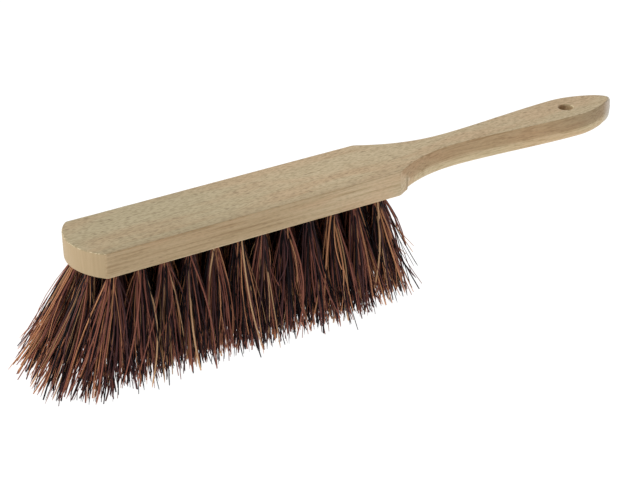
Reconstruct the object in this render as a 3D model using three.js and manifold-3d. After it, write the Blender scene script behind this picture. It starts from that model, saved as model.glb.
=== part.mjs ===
// Facade joint brush: a hand brush with a one-piece beech body and tufts of coarse plant fibre.
// Millimetres, +Z up, X from the nose towards the tip of the handle.
// The brush stands on its fibres. The origin is on the floor, under the middle of its length.

import * as THREE from 'three';
import { mergeVertices } from 'three/addons/utils/BufferGeometryUtils.js';
import Module from 'manifold-3d';

const wasm = await Module();
wasm.setup();

// Block: the straight front part that carries the fibres
const blockLength = 206; // front corners to rear corners
const blockWidth = 56;
const bodyThickness = 16; // one plank, so block and handle share it
const noseBulge = 11; // how far the front arc stands out before its corners
const edgeEase = 0.8; // sanded lower edges of the block

// Handle: plan outline, from the rear corners of the block to the tip
const shoulderLength = 57.5; // rear corners to the neck
const shoulderAngle = 32; // degrees by which the outline turns inwards at the rear corners
const shoulderStart = 15; // how far the shoulder holds that direction
const neckWidth = 19.6;
const neckSweep = 28; // length of the easing curve on each side of the neck
const neckToGrip = 98;
const gripWidth = 32.6;
const gripSweep = 29; // length of the easing curve before the widest place
const gripToTip = 37.5;
const tipSweep = 16; // length of the easing curve behind the widest place
const tipFullness = 3; // half-width to which the pointed tip is filled out

// Round-over of the handle's lower edges
const roundOverHeight = 9; // an oval: this far up the side
const roundOverDepth = 2.6; // and this far in under the handle
const roundOverStart = 7; // behind the rear corners of the block
const roundOverRunIn = 14; // length over which the cutter sinks in

// Hanging hole
const hangingHoleDiameter = 10;
const hangingHoleFromTip = 38.5;

// Tuft pattern: staggered rows of blind holes in the underside of the block
const rowCount = 4;
const tuftsPerRow = 12; // outer rows; the inner ones have one more
const sideMargin = 6.1; // hole centre of an outer row to the side of the block
const frontMargin = 6.8; // first hole of an outer row behind the front corners
const rearMargin = 14.6; // last hole of an outer row before the rear corners
const tuftHoleDiameter = 7;
const tuftHoleDepth = 11; // measured along the hole

// Fibres
const fibreDrop = 73; // underside of the block to the trimmed tips
const fibreLength = 80; // free length of the longest fibre
const raggedness = 9; // how much shorter the shortest fibre is
const strandsInRing = 7; // each tuft has one strand in the middle and a ring round it
const strandRootRadius = 0.82;
const strandTipRadius = 0.75;
const strandSides = 3;
const tuftReachAlong = 7; // half-size of the ground a tuft fills, along the block
const tuftReachAcross = 6.7; // the same across the block
const strandWander = 0.5; // random shift of a strand's tip
const forwardLean = 0.06; // run per unit of drop of all tufts, forwards
const frontLean = 0.5; // what the foremost tufts add to it, away from the centre of the nose arc
const frontLeanReach = 50; // length of the block over which that fades out
const rearLean = 0.24; // what the rearmost tufts take away from it
const rearLeanReach = 100;
const sideLean = 0.04; // outer rows, outwards

// Slice of the block to which a row of strands is fused
const sliceDepth = 2;

// Staples: square wire bent into a U, in the fold of each tuft
const stapleWire = 1;
const stapleHeight = 5;

// Clearance between separate pieces
const fit = 0.3;

// Facets
const noseSteps = 9;
const runInSteps = 5;
const shoulderSteps = 4;
const gripSteps = 7;
const tipSteps = 10;
const roundOverSteps = 5;
const narrowShare = 0.92; // most of a narrow section's half-width that its round-over takes
const holeSides = 6;
const hangingHoleSides = 20;
const randomSeed = 3;

// Values that follow from the driving dimensions
const halfBlock = blockWidth / 2;
const noseRadius = (halfBlock ** 2 + noseBulge ** 2) / (2 * noseBulge);
const noseCentre = noseRadius - noseBulge;
const underside = -bodyThickness;
const neckX = blockLength + shoulderLength;
const gripX = neckX + neckToGrip;
const tipX = gripX + gripToTip;
const holeRadius = tuftHoleDiameter / 2;
const rowSpacing = (blockWidth - 2 * sideMargin) / (rowCount - 1);
const tuftPitch = (blockLength - frontMargin - rearMargin) / (tuftsPerRow - 1);
const pocketRim = (sideMargin - holeRadius) / 2; // wood left between the slices and the side
const firstTuftX = frontMargin - tuftPitch / 2; // in the inner rows
const lastTuftX = blockLength - rearMargin + tuftPitch / 2;
const pocketRear = lastTuftX + holeRadius + pocketRim;
const outerRowY = halfBlock - sideMargin;
const plugRadius = holeRadius - fit;
const plugHeight = tuftHoleDepth - fit;
const strandRing = plugRadius - strandRootRadius;

const beech = new THREE.MeshStandardMaterial({ color: '#c3ad88', roughness: 0.7, metalness: 0 });
const fibre = new THREE.MeshStandardMaterial({ color: '#4a2a20', roughness: 0.65, metalness: 0 });
const steelWire = new THREE.MeshStandardMaterial({ color: '#a9abac', roughness: 0.35, metalness: 1 });

// Boolean helpers

function toSolid(geometry) {
  const plain = geometry.clone();
  plain.deleteAttribute('normal');
  plain.deleteAttribute('uv');
  const merged = mergeVertices(plain);
  return new wasm.Manifold(new wasm.Mesh({
    numProp: 3,
    vertProperties: new Float32Array(merged.attributes.position.array),
    triVerts: new Uint32Array(merged.index.array),
  }));
}

function toGeometry(solid) {
  const mesh = solid.getMesh();
  const geometry = new THREE.BufferGeometry();
  geometry.setAttribute('position', new THREE.BufferAttribute(mesh.vertProperties, 3));
  geometry.setIndex(new THREE.BufferAttribute(mesh.triVerts, 1));
  geometry.computeVertexNormals();
  return geometry;
}

// Repeatable random number from -1 to 1
THREE.MathUtils.seededRandom(randomSeed);
function randomShift() {
  return 2 * THREE.MathUtils.seededRandom() - 1;
}

// Body: a loft of sections along X

function point(x, y) {
  return new THREE.Vector2(x, y);
}

function shoulderCurve() {
  const turn = THREE.MathUtils.degToRad(shoulderAngle);
  const start = point(blockLength, halfBlock);
  const leave = point(start.x + shoulderStart * Math.cos(turn), start.y - shoulderStart * Math.sin(turn));
  const arrive = point(neckX - neckSweep, neckWidth / 2);
  return new THREE.CubicBezierCurve(start, leave, arrive, point(neckX, neckWidth / 2));
}

function gripCurve() {
  const start = point(neckX, neckWidth / 2);
  const leave = point(neckX + neckSweep, neckWidth / 2);
  const arrive = point(gripX - gripSweep, gripWidth / 2);
  return new THREE.CubicBezierCurve(start, leave, arrive, point(gripX, gripWidth / 2));
}

function tipCurve() {
  const start = point(gripX, gripWidth / 2);
  const leave = point(gripX + tipSweep, gripWidth / 2);
  return new THREE.CubicBezierCurve(start, leave, point(tipX, tipFullness), point(tipX, 0));
}

// Point of a curve at a given x, for curves whose x only grows
function curvePointAt(curve, x) {
  let low = 0;
  let high = 1;
  while (high - low > 1e-9) {
    const middle = (low + high) / 2;
    if (curve.getPoint(middle).x < x) low = middle;
    else high = middle;
  }
  return curve.getPoint(low);
}

// Half of the plan outline from nose to tip: x, and the half-width there as y
function outlineStations() {
  const stations = [];
  const noseAngle = Math.asin(halfBlock / noseRadius);
  for (let step = 1; step <= noseSteps; step++) {
    const angle = noseAngle * step / noseSteps;
    stations.push(point(noseCentre - noseRadius * Math.cos(angle), noseRadius * Math.sin(angle)));
  }
  const shoulder = shoulderCurve();
  stations.push(point(blockLength, halfBlock));
  const crease = blockLength + roundOverStart;
  for (let step = 0; step <= runInSteps; step++) {
    stations.push(curvePointAt(shoulder, crease + roundOverRunIn * (step / runInSteps) ** 2));
  }
  const runInEnd = crease + roundOverRunIn;
  for (let step = 1; step <= shoulderSteps; step++) {
    stations.push(curvePointAt(shoulder, THREE.MathUtils.lerp(runInEnd, neckX, step / shoulderSteps)));
  }
  for (let step = 1; step <= gripSteps; step++) stations.push(gripCurve().getPoint(step / gripSteps));
  for (let step = 1; step < tipSteps; step++) {
    stations.push(tipCurve().getPoint(1 - (1 - step / tipSteps) ** 1.5)); // closer towards the tip
  }
  return stations;
}

// How far the cutter of the round-over has sunk in at x, from 0 on the block to 1 on the handle
function roundOverShareAt(x) {
  const into = (x - blockLength - roundOverStart) / roundOverRunIn;
  return Math.sqrt(1 - (1 - THREE.MathUtils.clamp(into, 0, 1)) ** 2);
}

// Distance from a point of the plan to the outline, which is mirrored about y = 0
function edgeDistance(stations, x, y) {
  const first = stations[0];
  const last = stations[stations.length - 1];
  const corners = [point(first.x, 0), ...stations, point(last.x, 0)];
  const place = new THREE.Vector3(x, y, 0);
  const nearest = new THREE.Vector3();
  let distance = Infinity;
  for (let i = 1; i < corners.length; i++) {
    const from = new THREE.Vector3(corners[i - 1].x, corners[i - 1].y, 0);
    const to = new THREE.Vector3(corners[i].x, corners[i].y, 0);
    new THREE.Line3(from, to).closestPointToPoint(place, true, nearest);
    distance = Math.min(distance, nearest.distanceTo(place));
  }
  return distance;
}

// Section at a station: flat top, upright sides, lower edges rounded by their distance to the outline
function bodySection(stations, station) {
  const sunk = roundOverShareAt(station.x);
  const depth = THREE.MathUtils.lerp(edgeEase, roundOverDepth, sunk);
  const height = THREE.MathUtils.lerp(edgeEase, roundOverHeight, sunk);
  const inset = Math.min(depth, station.y * narrowShare);
  const side = [new THREE.Vector3(station.x, station.y, 0)];
  for (let step = 0; step <= roundOverSteps; step++) {
    const y = station.y - inset * (1 - Math.cos(step / roundOverSteps * Math.PI / 2));
    const reach = Math.min(edgeDistance(stations, station.x, y), depth);
    const lift = height * (1 - Math.sqrt(1 - (1 - reach / depth) ** 2));
    side.push(new THREE.Vector3(station.x, y, underside + lift));
  }
  const mirrored = side.map((corner) => new THREE.Vector3(corner.x, -corner.y, corner.z));
  return [...side, ...mirrored.reverse()];
}

// Closed skin over sections that all have the same number of corners and are convex
function loft(sections) {
  const corners = sections[0].length;
  const indices = [];
  for (let ring = 0; ring + 1 < sections.length; ring++) {
    for (let k = 0; k < corners; k++) {
      const a = ring * corners + k;
      const b = ring * corners + (k + 1) % corners;
      indices.push(a, a + corners, b + corners, a, b + corners, b);
    }
  }
  const lastRing = (sections.length - 1) * corners;
  for (let k = 1; k + 1 < corners; k++) {
    indices.push(0, k, k + 1);
    indices.push(lastRing, lastRing + k + 1, lastRing + k);
  }
  const geometry = new THREE.BufferGeometry().setFromPoints(sections.flat());
  geometry.setIndex(indices);
  return geometry;
}

// Outline of the pocket for the slices, drawn in by a rim all round
function pocketShape(rim) {
  const half = halfBlock - rim;
  const rear = pocketRear + pocketRim - rim;
  const radius = noseRadius - rim;
  const angle = Math.asin(half / radius);
  const shape = new THREE.Shape();
  shape.moveTo(rear, -half);
  shape.lineTo(rear, half);
  shape.absarc(noseCentre, 0, radius, Math.PI - angle, Math.PI + angle, false);
  shape.closePath();
  return shape;
}

// Flat plate of a plan shape, standing on the given height
function plate(shape, bottom, height) {
  const settings = { depth: height, bevelEnabled: false, curveSegments: noseSteps };
  return toSolid(new THREE.ExtrudeGeometry(shape, settings).translate(0, 0, bottom));
}

function beechBody(tufts) {
  const stations = outlineStations();
  let body = toSolid(loft(stations.map((station) => bodySection(stations, station))));
  const below = 1;
  body = body.subtract(plate(pocketShape(pocketRim), underside - below, below + sliceDepth + fit));
  for (const tuft of tufts) {
    const hole = new THREE.CylinderGeometry(holeRadius, holeRadius, tuftHoleDepth, holeSides);
    hole.rotateX(Math.PI / 2).translate(0, 0, tuftHoleDepth / 2);
    body = body.subtract(toSolid(hole.applyMatrix4(tuft.frame)));
  }
  const hangRadius = hangingHoleDiameter / 2;
  const hang = new THREE.CylinderGeometry(hangRadius, hangRadius, 2 * bodyThickness, hangingHoleSides);
  hang.rotateX(Math.PI / 2).translate(tipX - hangingHoleFromTip, 0, underside / 2);
  return toGeometry(body.subtract(toSolid(hang)));
}

// Tufts: place and lean of each one

// Lean of the fibres that fill a place under the block: run along and across it for each unit of drop
function tuftSlope(x, y) {
  const front = THREE.MathUtils.clamp(1 - (x - firstTuftX) / frontLeanReach, 0, 1);
  const rear = THREE.MathUtils.clamp(1 - (lastTuftX - x) / rearLeanReach, 0, 1);
  const fan = point(Math.min(x - noseCentre, 0), y).setLength(frontLean * front ** 2);
  return point(fan.x - forwardLean + rearLean * rear ** 2, fan.y + sideLean * y / outerRowY);
}

// Frame on the underside whose Z runs up into the wood along the tuft's hole
function tuftFrame(x, y, slope) {
  const upwards = new THREE.Vector3(-slope.x, -slope.y, 1).normalize();
  const turn = new THREE.Quaternion().setFromUnitVectors(new THREE.Vector3(0, 0, 1), upwards);
  return new THREE.Matrix4().compose(new THREE.Vector3(x, y, underside), turn, new THREE.Vector3(1, 1, 1));
}

function tuftRows() {
  const rows = [];
  for (let row = 0; row < rowCount; row++) {
    const y = (row - (rowCount - 1) / 2) * rowSpacing;
    const inner = row > 0 && row < rowCount - 1;
    const start = inner ? firstTuftX : frontMargin;
    const count = tuftsPerRow + (inner ? 1 : 0);
    const tufts = [];
    for (let index = 0; index < count; index++) {
      const x = start + index * tuftPitch;
      const slope = tuftSlope(x, y);
      tufts.push({ x, y, slope, frame: tuftFrame(x, y, slope) });
    }
    rows.push(tufts);
  }
  return rows;
}

// One strand: a thin tapered rod from the slice down to its own place in the ground that its tuft fills
function strand(tuft, offset, shorter) {
  const fanX = (tuftReachAlong / strandRing - 1) * offset.x + strandWander * randomShift();
  const fanY = (tuftReachAcross / strandRing - 1) * offset.y + strandWander * randomShift();
  const lean = tuftSlope(tuft.x + offset.x + fanX, tuft.y + offset.y + fanY);
  const slopeX = lean.x + fanX / fibreDrop;
  const slopeY = lean.y + fanY / fibreDrop;
  const reach = fibreLength / Math.hypot(1, slopeX, slopeY);
  const drop = Math.min(fibreDrop, reach) - shorter;
  const buried = sliceDepth / 2;
  const length = drop + buried;
  const rod = new THREE.CylinderGeometry(strandRootRadius, strandTipRadius, length, strandSides);
  rod.rotateX(Math.PI / 2).rotateZ(Math.PI * randomShift()).translate(0, 0, buried - length / 2);
  const shear = new THREE.Matrix4().set(
    1, 0, -slopeX, tuft.x + offset.x,
    0, 1, -slopeY, tuft.y + offset.y,
    0, 0, 1, underside,
    0, 0, 0, 1,
  );
  return toSolid(rod.applyMatrix4(shear));
}

// Folded end of a tuft in its hole, slotted for the staple
function tuftPlug(tuft) {
  const core = new THREE.CylinderGeometry(plugRadius, plugRadius, plugHeight + holeRadius, holeSides);
  core.rotateX(Math.PI / 2).translate(0, 0, (plugHeight - holeRadius) / 2);
  const slotDepth = stapleHeight + fit;
  const slot = new THREE.BoxGeometry(stapleWire + 2 * fit, tuftHoleDiameter, 2 * slotDepth);
  slot.translate(0, 0, plugHeight);
  return toSolid(core.applyMatrix4(tuft.frame)).subtract(toSolid(slot.applyMatrix4(tuft.frame)));
}

// One row: a slice of the block with its plugs above and its strands below
function tuftRow(tufts, row) {
  const low = row === 0 ? -blockWidth : (row - rowCount / 2) * rowSpacing + fit / 2;
  const high = row === rowCount - 1 ? blockWidth : (row + 1 - rowCount / 2) * rowSpacing - fit / 2;
  const band = new THREE.BoxGeometry(2 * blockLength, high - low, 2 * bodyThickness);
  band.translate(pocketRear - blockLength / 2, (low + high) / 2, underside);
  const slice = plate(pocketShape(pocketRim + fit), underside, sliceDepth).intersect(toSolid(band));
  let plugs = slice;
  for (const tuft of tufts) plugs = plugs.add(tuftPlug(tuft));
  const above = new THREE.BoxGeometry(2 * blockLength, 2 * blockWidth, bodyThickness);
  above.translate(blockLength / 2, 0, underside + bodyThickness / 2);
  let solid = plugs.intersect(toSolid(above));
  for (const tuft of tufts) {
    solid = solid.add(strand(tuft, point(0, 0), 0));
    for (let k = 0; k < strandsInRing; k++) {
      const angle = 2 * Math.PI * k / strandsInRing;
      const offset = point(strandRing * Math.cos(angle), strandRing * Math.sin(angle));
      solid = solid.add(strand(tuft, offset, raggedness * Math.abs(randomShift())));
    }
  }
  return toGeometry(solid);
}

// Staple: a U of wire with its legs pointing into the wood
function stapleGeometry() {
  const half = holeRadius * Math.cos(Math.PI / holeSides) - fit;
  const legHalf = half - stapleWire;
  const top = tuftHoleDepth - fit;
  const bottom = top - stapleHeight;
  const crown = bottom + stapleWire;
  const outline = [
    point(-half, bottom), point(half, bottom), point(half, top), point(legHalf, top),
    point(legHalf, crown), point(-legHalf, crown), point(-legHalf, top), point(-half, top),
  ];
  const settings = { depth: stapleWire, bevelEnabled: false };
  const wire = new THREE.ExtrudeGeometry(new THREE.Shape(outline), settings);
  return wire.translate(0, 0, -stapleWire / 2).rotateX(Math.PI / 2).rotateZ(Math.PI / 2);
}

// Assembly

const group = new THREE.Group();
const brush = new THREE.Group();
group.add(brush);

function addPiece(name, geometry, material) {
  const mesh = new THREE.Mesh(geometry, material);
  mesh.name = name;
  brush.add(mesh);
  return mesh;
}

const rows = tuftRows();
addPiece('beech_body', beechBody(rows.flat()), beech);
rows.forEach((tufts, row) => {
  addPiece(`tuft_row_${row + 1}`, tuftRow(tufts, row), fibre);
  tufts.forEach((tuft, index) => {
    const staple = addPiece(`staple_${row + 1}_${index + 1}`, stapleGeometry(), steelWire);
    staple.applyMatrix4(tuft.frame);
  });
});

// Stand the brush on its trimmed tips, with the middle of its length over the origin
const box = new THREE.Box3().setFromObject(brush);
brush.position.set(-(box.min.x + box.max.x) / 2, 0, -box.min.z);
group.updateMatrixWorld(true);

export default group;
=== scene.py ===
# %% [markdown]
# # A beech facade joint brush with palm-fibre tufts
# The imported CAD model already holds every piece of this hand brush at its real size: one beech
# plank, four rows of stapled tufts and the staples. This lesson gives it its looks. The plank is
# rebuilt as a finer mesh with sanded edges and torn grain, and each tuft becomes a bundle of
# separate fibres. Everything stays in the frame of the CAD model, in metres, so nothing has to be
# fitted afterwards.

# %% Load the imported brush
import math
import random

import bmesh
import bpy
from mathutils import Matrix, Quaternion, Vector, geometry, noise


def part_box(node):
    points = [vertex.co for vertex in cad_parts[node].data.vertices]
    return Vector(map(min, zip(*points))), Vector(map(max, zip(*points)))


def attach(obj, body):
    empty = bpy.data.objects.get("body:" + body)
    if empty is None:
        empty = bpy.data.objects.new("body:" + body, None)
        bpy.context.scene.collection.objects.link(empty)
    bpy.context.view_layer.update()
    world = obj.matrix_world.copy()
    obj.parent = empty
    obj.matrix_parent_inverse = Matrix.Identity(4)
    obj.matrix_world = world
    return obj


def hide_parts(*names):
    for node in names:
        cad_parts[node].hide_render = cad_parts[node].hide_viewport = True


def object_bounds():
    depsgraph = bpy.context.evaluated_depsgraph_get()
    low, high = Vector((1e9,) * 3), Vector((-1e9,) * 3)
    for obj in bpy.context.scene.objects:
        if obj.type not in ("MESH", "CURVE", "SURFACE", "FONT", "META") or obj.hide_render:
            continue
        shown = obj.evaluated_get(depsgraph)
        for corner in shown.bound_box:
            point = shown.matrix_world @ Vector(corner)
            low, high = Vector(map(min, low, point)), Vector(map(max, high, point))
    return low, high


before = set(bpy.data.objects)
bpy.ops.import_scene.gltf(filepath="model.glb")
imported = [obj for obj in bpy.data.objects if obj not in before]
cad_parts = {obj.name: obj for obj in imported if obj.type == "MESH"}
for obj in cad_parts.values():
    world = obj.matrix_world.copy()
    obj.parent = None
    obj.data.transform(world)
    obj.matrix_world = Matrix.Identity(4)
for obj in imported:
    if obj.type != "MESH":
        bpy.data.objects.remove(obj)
cad_low, cad_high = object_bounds()
wood_low, wood_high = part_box("beech_body")
MM = 0.001
print("CAD box in mm:", [round(side / MM, 1) for side in cad_high - cad_low])

# %% [markdown]
# ## The camera
# The photograph was taken with a long lens, from the left of the handle and from above. A look-at
# camera needs only a few facts: the point it looks at, the two angles, the distance and the lens.
# They were measured by matching the corners of the block and the outline of the handle. The roll is
# real too: the camera leaned a little, which makes the brush climb to the right more steeply.

# %% Aim the camera
IMAGE_WIDTH = 617  # pixels of the photograph
FOCAL_LENGTH = 1879  # in the same pixels
SENSOR_WIDTH = 36  # mm
VIEW_AZIMUTH = math.radians(-30.73)  # 0 looks along +Y
VIEW_ELEVATION = math.radians(25.54)
VIEW_ROLL = math.radians(-1.96)
VIEW_DISTANCE = 1.178  # m
SIGHT_FROM_NOSE = 153.2 * MM
SIGHT_TO_THE_SIDE = -18.7 * MM
SIGHT_BELOW_TOP = 40 * MM

sight = Vector((wood_low.x + SIGHT_FROM_NOSE, SIGHT_TO_THE_SIDE, wood_high.z - SIGHT_BELOW_TOP))
level = math.cos(VIEW_ELEVATION)
backwards = Vector((
    math.sin(VIEW_AZIMUTH) * level, -math.cos(VIEW_AZIMUTH) * level, math.sin(VIEW_ELEVATION)))
lens = bpy.data.cameras.new("long_lens")
lens.sensor_width = SENSOR_WIDTH
lens.lens = FOCAL_LENGTH / IMAGE_WIDTH * SENSOR_WIDTH
camera = bpy.data.objects.new("camera", lens)
camera.location = sight + backwards * VIEW_DISTANCE
camera.rotation_mode = "QUATERNION"
upright = (-backwards).to_track_quat("-Z", "Y")
camera.rotation_quaternion = upright @ Quaternion((0, 0, 1), VIEW_ROLL)
bpy.context.scene.collection.objects.link(camera)
bpy.context.scene.camera = camera
print("Lens in mm:", round(lens.lens, 1))

# %% [markdown]
# ## Four small helpers
# Colours are picked as sRGB hex values, as a paint program shows them, but Blender's sockets hold
# linear light, so one function turns the one into the other. Another adds a node with its settings,
# its fixed values and its links in one call. The third gives a pattern's scale from the real size
# of one of its cells in millimetres, and the last starts an empty material. A Mix node for colours
# numbers its sockets: 0 is the share, 6 and 7 are the two colours, and 2 is the result.

# %% Colour, node and scale helpers
SMOOTH = {"interpolation_type": "SMOOTHSTEP"}
BLEND = {"data_type": "RGBA"}
TINT = {"data_type": "RGBA", "blend_type": "MULTIPLY"}


def linear(hex_colour):
    """The linear colour of an sRGB hex value."""
    channels = [int(hex_colour[i:i + 2], 16) / 255 for i in (1, 3, 5)]
    return (*[c / 12.92 if c <= 0.04045 else ((c + 0.055) / 1.055) ** 2.4 for c in channels], 1.0)


def add_node(tree, kind, settings=None, values=None, links=None):
    """A new node with its settings, the values of its sockets and the outputs that feed it."""
    node = tree.nodes.new(kind)
    for name, value in (settings or {}).items():
        setattr(node, name, value)
    for socket, value in (values or {}).items():
        node.inputs[socket].default_value = value
    for socket, source in (links or {}).items():
        tree.links.new(source, node.inputs[socket])
    return node


def cells_per_metre(along, across, up):
    """The scale of a pattern whose cells have this size in millimetres."""
    return (1 / (along * MM), 1 / (across * MM), 1 / (up * MM))


def new_material(name):
    """An empty material and its node tree."""
    material = bpy.data.materials.new(name)
    material.use_nodes = True
    material.node_tree.nodes.clear()
    return material, material.node_tree


print("Mid grey in linear light:", round(linear("#808080")[0], 3))

# %% [markdown]
# ## Floor and light
# The brush stands on a plain white table in soft studio light. The white sky fades towards the
# viewer, as a room does behind the camera: that keeps the long side of the plank darker than its
# top. The table throws light back up under the handle, and one large soft box on the nose side
# gives the block its brighter end. The colours are matched to the photograph as they stand, so the
# view transform is the plain one.

# %% Table, sky and soft box
TABLE_HALF = 12.0  # m
SKY_STRENGTH = 1.0
DIM_SIDE = Vector((0.25, -0.97, 0))  # the direction of the dark room
DIM_SHARE = 0.22  # of the sky's strength that is left there
DIM_BEGIN, DIM_FULL = -0.1, 0.8  # cosines to that direction between which the sky fades
SOFT_BOX_WATTS = 9
SOFT_BOX_SIDE = 1.1  # m
SOFT_BOX_PLACE = Vector((-1.2, 0.3, 1.1))

bpy.context.scene.view_settings.view_transform = "Standard"

sky = bpy.data.worlds.new("white_studio")
sky.use_nodes = True
sky.node_tree.nodes.clear()
sky_direction = add_node(sky.node_tree, "ShaderNodeTexCoord").outputs["Generated"]
towards_room = add_node(
    sky.node_tree, "ShaderNodeVectorMath", {"operation": "DOT_PRODUCT"}, {1: DIM_SIDE},
    {0: sky_direction})
sky_light = add_node(
    sky.node_tree, "ShaderNodeMapRange",
    values={"From Min": DIM_BEGIN, "From Max": DIM_FULL,
            "To Min": SKY_STRENGTH, "To Max": SKY_STRENGTH * DIM_SHARE},
    links={"Value": towards_room.outputs["Value"]})
sky_glow = add_node(
    sky.node_tree, "ShaderNodeBackground", values={"Color": linear("#ffffff")},
    links={"Strength": sky_light.outputs["Result"]})
add_node(sky.node_tree, "ShaderNodeOutputWorld", links={"Surface": sky_glow.outputs["Background"]})
bpy.context.scene.world = sky

table_material, tree = new_material("white_laminate")
# A white table that glows hides most of the shadow, as an overexposed studio floor does.
table_shader = add_node(
    tree, "ShaderNodeBsdfPrincipled", values={
        "Base Color": linear("#585858"), "Roughness": 0.8, "Specular IOR Level": 0.0,
        "Emission Color": linear("#ffffff"), "Emission Strength": 1.0})
add_node(tree, "ShaderNodeOutputMaterial", links={"Surface": table_shader.outputs["BSDF"]})

table_mesh = bpy.data.meshes.new("table")
corner_signs = [(-1, -1), (1, -1), (1, 1), (-1, 1)]
corners = [(x * TABLE_HALF, y * TABLE_HALF, cad_low.z) for x, y in corner_signs]
table_mesh.from_pydata(corners, [], [(0, 1, 2, 3)])
table_mesh.materials.append(table_material)
table = bpy.data.objects.new("table", table_mesh)
bpy.context.scene.collection.objects.link(table)

soft_box_light = bpy.data.lights.new("soft_box", "AREA")
soft_box_light.shape = "SQUARE"
soft_box_light.size = SOFT_BOX_SIDE
soft_box_light.energy = SOFT_BOX_WATTS
soft_box = bpy.data.objects.new("soft_box", soft_box_light)
soft_box.location = SOFT_BOX_PLACE
soft_box.rotation_mode = "QUATERNION"
soft_box.rotation_quaternion = (sight - SOFT_BOX_PLACE).to_track_quat("-Z", "Y")
bpy.context.scene.collection.objects.link(soft_box)
print("Soft box from the brush in m:", round((sight - SOFT_BOX_PLACE).length, 2))

# %% [markdown]
# ## The plank in plan
# Block and handle are sawn from one beech plank. Seen from above, its outline is a shallow arc at
# the nose, two straight sides, a shoulder that sweeps in to the neck, a grip that swells again, and
# a leaf-shaped tip. Half of it is drawn here from arcs and Bezier curves, then walked in equal
# steps. A light smoothing of the stepped points rounds the four corners as a sanding pad does. The
# sizes are those of the CAD model, in millimetres from the front corners of the block.

# %% Draw the outline
BLOCK_LENGTH = 206
NOSE_BULGE = 11
SHOULDER_LENGTH, SHOULDER_ANGLE, SHOULDER_START = 57.5, math.radians(32), 15
NECK_WIDTH, NECK_SWEEP, NECK_TO_GRIP = 19.6, 28, 98
GRIP_WIDTH, GRIP_SWEEP = 32.6, 29
TIP_SWEEP, TIP_FULLNESS = 16, 3
OUTLINE_STEP = 0.8
ARC_STEPS, CURVE_POINTS = 40, 60  # of the drawn curves, before they are walked
CORNER_SMOOTHING = 2  # passes

body_length = (wood_high.x - wood_low.x) / MM
half_block = wood_high.y / MM
thickness = (wood_high.z - wood_low.z) / MM
# The front corners of the block, on the top face
origin = Vector((wood_low.x + NOSE_BULGE * MM, 0, wood_high.z))
neck_x = BLOCK_LENGTH + SHOULDER_LENGTH
grip_x = neck_x + NECK_TO_GRIP
tip_x = body_length - NOSE_BULGE
nose_radius = (half_block ** 2 + NOSE_BULGE ** 2) / (2 * NOSE_BULGE)
nose_centre = nose_radius - NOSE_BULGE


def in_frame(point):
    """A point in millimetres from the front corners of the block, in the frame of the CAD model."""
    return origin + Vector(point) * MM


def walk(points, step):
    """Points at equal steps along a polyline, both ends included."""
    lengths = [(b - a).length for a, b in zip(points, points[1:])]
    count = round(sum(lengths) / step)
    even = sum(lengths) / count
    walked, left = [points[0]], even
    for a, b, length in zip(points, points[1:], lengths):
        gone = 0.0
        while length - gone >= left and len(walked) < count:
            gone += left
            left = even
            walked.append(a.lerp(b, gone / length))
        left -= length - gone
    return walked + [points[-1]]


def half_outline():
    """The outline from the nose to the tip, on the side of positive Y."""
    reach = math.asin(half_block / nose_radius)
    points = []
    for i in range(ARC_STEPS + 1):
        a = reach * i / ARC_STEPS
        points.append(Vector((nose_centre - nose_radius * math.cos(a), nose_radius * math.sin(a))))
    corner = Vector((BLOCK_LENGTH, half_block))
    heading = Vector((math.cos(SHOULDER_ANGLE), -math.sin(SHOULDER_ANGLE)))
    leaving = corner + SHOULDER_START * heading
    neck = Vector((neck_x, NECK_WIDTH / 2))
    grip = Vector((grip_x, GRIP_WIDTH / 2))
    tip = Vector((tip_x, 0))
    sweep = Vector((NECK_SWEEP, 0))
    swell = Vector((GRIP_SWEEP, 0))
    taper = Vector((TIP_SWEEP, 0))
    fullness = Vector((0, TIP_FULLNESS))
    shoulder = geometry.interpolate_bezier(corner, leaving, neck - sweep, neck, CURVE_POINTS)
    swelling = geometry.interpolate_bezier(neck, neck + sweep, grip - swell, grip, CURVE_POINTS)
    leaf = geometry.interpolate_bezier(grip, grip + taper, tip + fullness, tip, CURVE_POINTS)
    points += shoulder + swelling[1:] + leaf[1:]
    points = walk([p.to_2d() for p in points], OUTLINE_STEP)
    for _ in range(CORNER_SMOOTHING):
        inner = [(a + 2 * b + c) / 4 for a, b, c in zip(points, points[1:], points[2:])]
        points = [points[0], *inner, points[-1]]
    return points


half = half_outline()
outline = half + [Vector((p.x, -p.y)) for p in reversed(half[1:-1])]
ends = [round(point.x, 1) for point in (half[0], half[-1])]
print("Outline points:", len(outline), "from and to in mm:", ends)

# %% [markdown]
# ## The plank's edges
# The loft has one ring of points for each step of an edge profile. The top edge is barely sanded,
# and at the nose the saw tore small chips out of it. The lower edge of the block is only eased, but
# behind the block a round-over cutter sinks in along a quarter circle and gives the handle an oval
# lower edge. All rings move inwards towards the middle of the plank, so they never cross, not even
# at the neck. Top and underside are filled afterwards, with the hanging hole and the blind tuft
# holes left open.

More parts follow.
